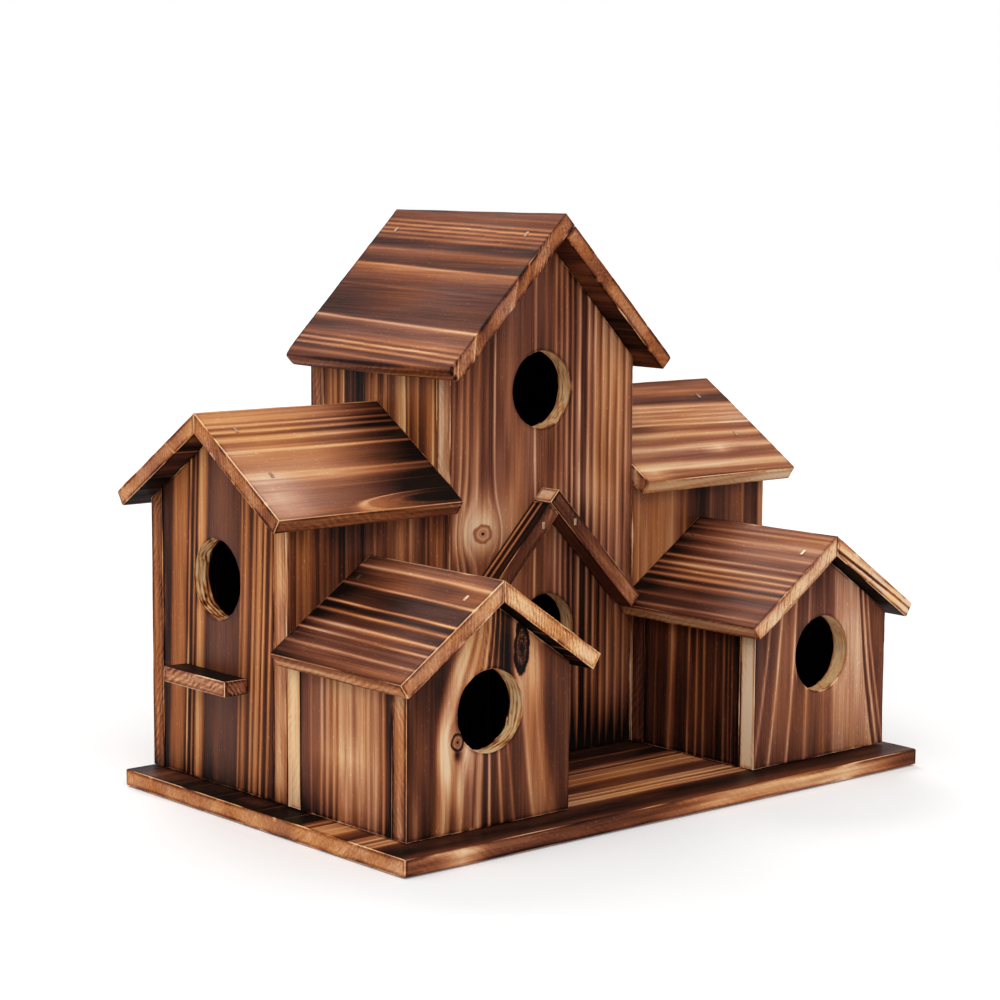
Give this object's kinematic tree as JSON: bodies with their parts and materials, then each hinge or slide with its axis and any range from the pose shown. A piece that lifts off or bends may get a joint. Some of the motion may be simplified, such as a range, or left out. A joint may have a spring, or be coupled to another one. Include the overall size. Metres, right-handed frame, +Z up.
{
  "type": "multi-room birdhouse",
  "caption": "Charred wooden birdhouse: a gabled tower with a long gabled room on each side and small gabled houses in front, with round entry holes, on a base board.",
  "frame": {"origin": "middle of the base board's underside", "axes": "+X along the base board's length to the right seen from the front, +Y to the back, +Z up"},
  "size_m": [0.2049, 0.1356, 0.1669],
  "materials": {
    "charred_wood": "torched softwood with a satin sheen",
    "brad": "bright wire"
  },
  "bodies": {
    "root": {"base_board": "charred_wood", "left_house_back_wall": "charred_wood", "left_house_front_wall": "charred_wood", "left_house_left_wall": "charred_wood", "left_house_right_wall": "charred_wood", "left_house_roof_left": "charred_wood", "left_house_roof_left_brad_back": "brad", "left_house_roof_left_brad_front": "brad", "left_house_roof_right": "charred_wood", "left_house_roof_right_brad_back": "brad", "left_house_roof_right_brad_front": "brad", "left_wing_back_wall": "charred_wood", "left_wing_front_wall": "charred_wood", "left_wing_gable": "charred_wood", "left_wing_perch": "charred_wood", "left_wing_roof_back": "charred_wood", "left_wing_roof_back_brad_lower": "brad", "left_wing_roof_back_brad_upper": "brad", "left_wing_roof_front": "charred_wood", "left_wing_roof_front_brad_lower": "brad", "left_wing_roof_front_brad_upper": "brad", "porch_roof_left": "charred_wood", "porch_roof_left_brad": "brad", "porch_roof_right": "charred_wood", "porch_roof_right_brad": "brad", "right_house_back_wall": "charred_wood", "right_house_front_wall": "charred_wood", "right_house_left_wall": "charred_wood", "right_house_right_wall": "charred_wood", "right_house_roof_left": "charred_wood", "right_house_roof_left_brad_back": "brad", "right_house_roof_left_brad_front": "brad", "right_house_roof_right": "charred_wood", "right_house_roof_right_brad_back": "brad", "right_house_roof_right_brad_front": "brad", "right_wing_back_wall": "charred_wood", "right_wing_front_wall": "charred_wood", "right_wing_gable": "charred_wood", "right_wing_perch": "charred_wood", "right_wing_roof_back": "charred_wood", "right_wing_roof_back_brad_lower": "brad", "right_wing_roof_back_brad_upper": "brad", "right_wing_roof_front": "charred_wood", "right_wing_roof_front_brad_lower": "brad", "right_wing_roof_front_brad_upper": "brad", "tower_back_wall": "charred_wood", "tower_front_wall": "charred_wood", "tower_left_wall": "charred_wood", "tower_right_wall": "charred_wood", "tower_roof_left": "charred_wood", "tower_roof_left_brad_back": "brad", "tower_roof_left_brad_front": "brad", "tower_roof_right": "charred_wood", "tower_roof_right_brad_back": "brad", "tower_roof_right_brad_front": "brad", "tower_room_floor": "charred_wood"}
  },
  "joints": []
}
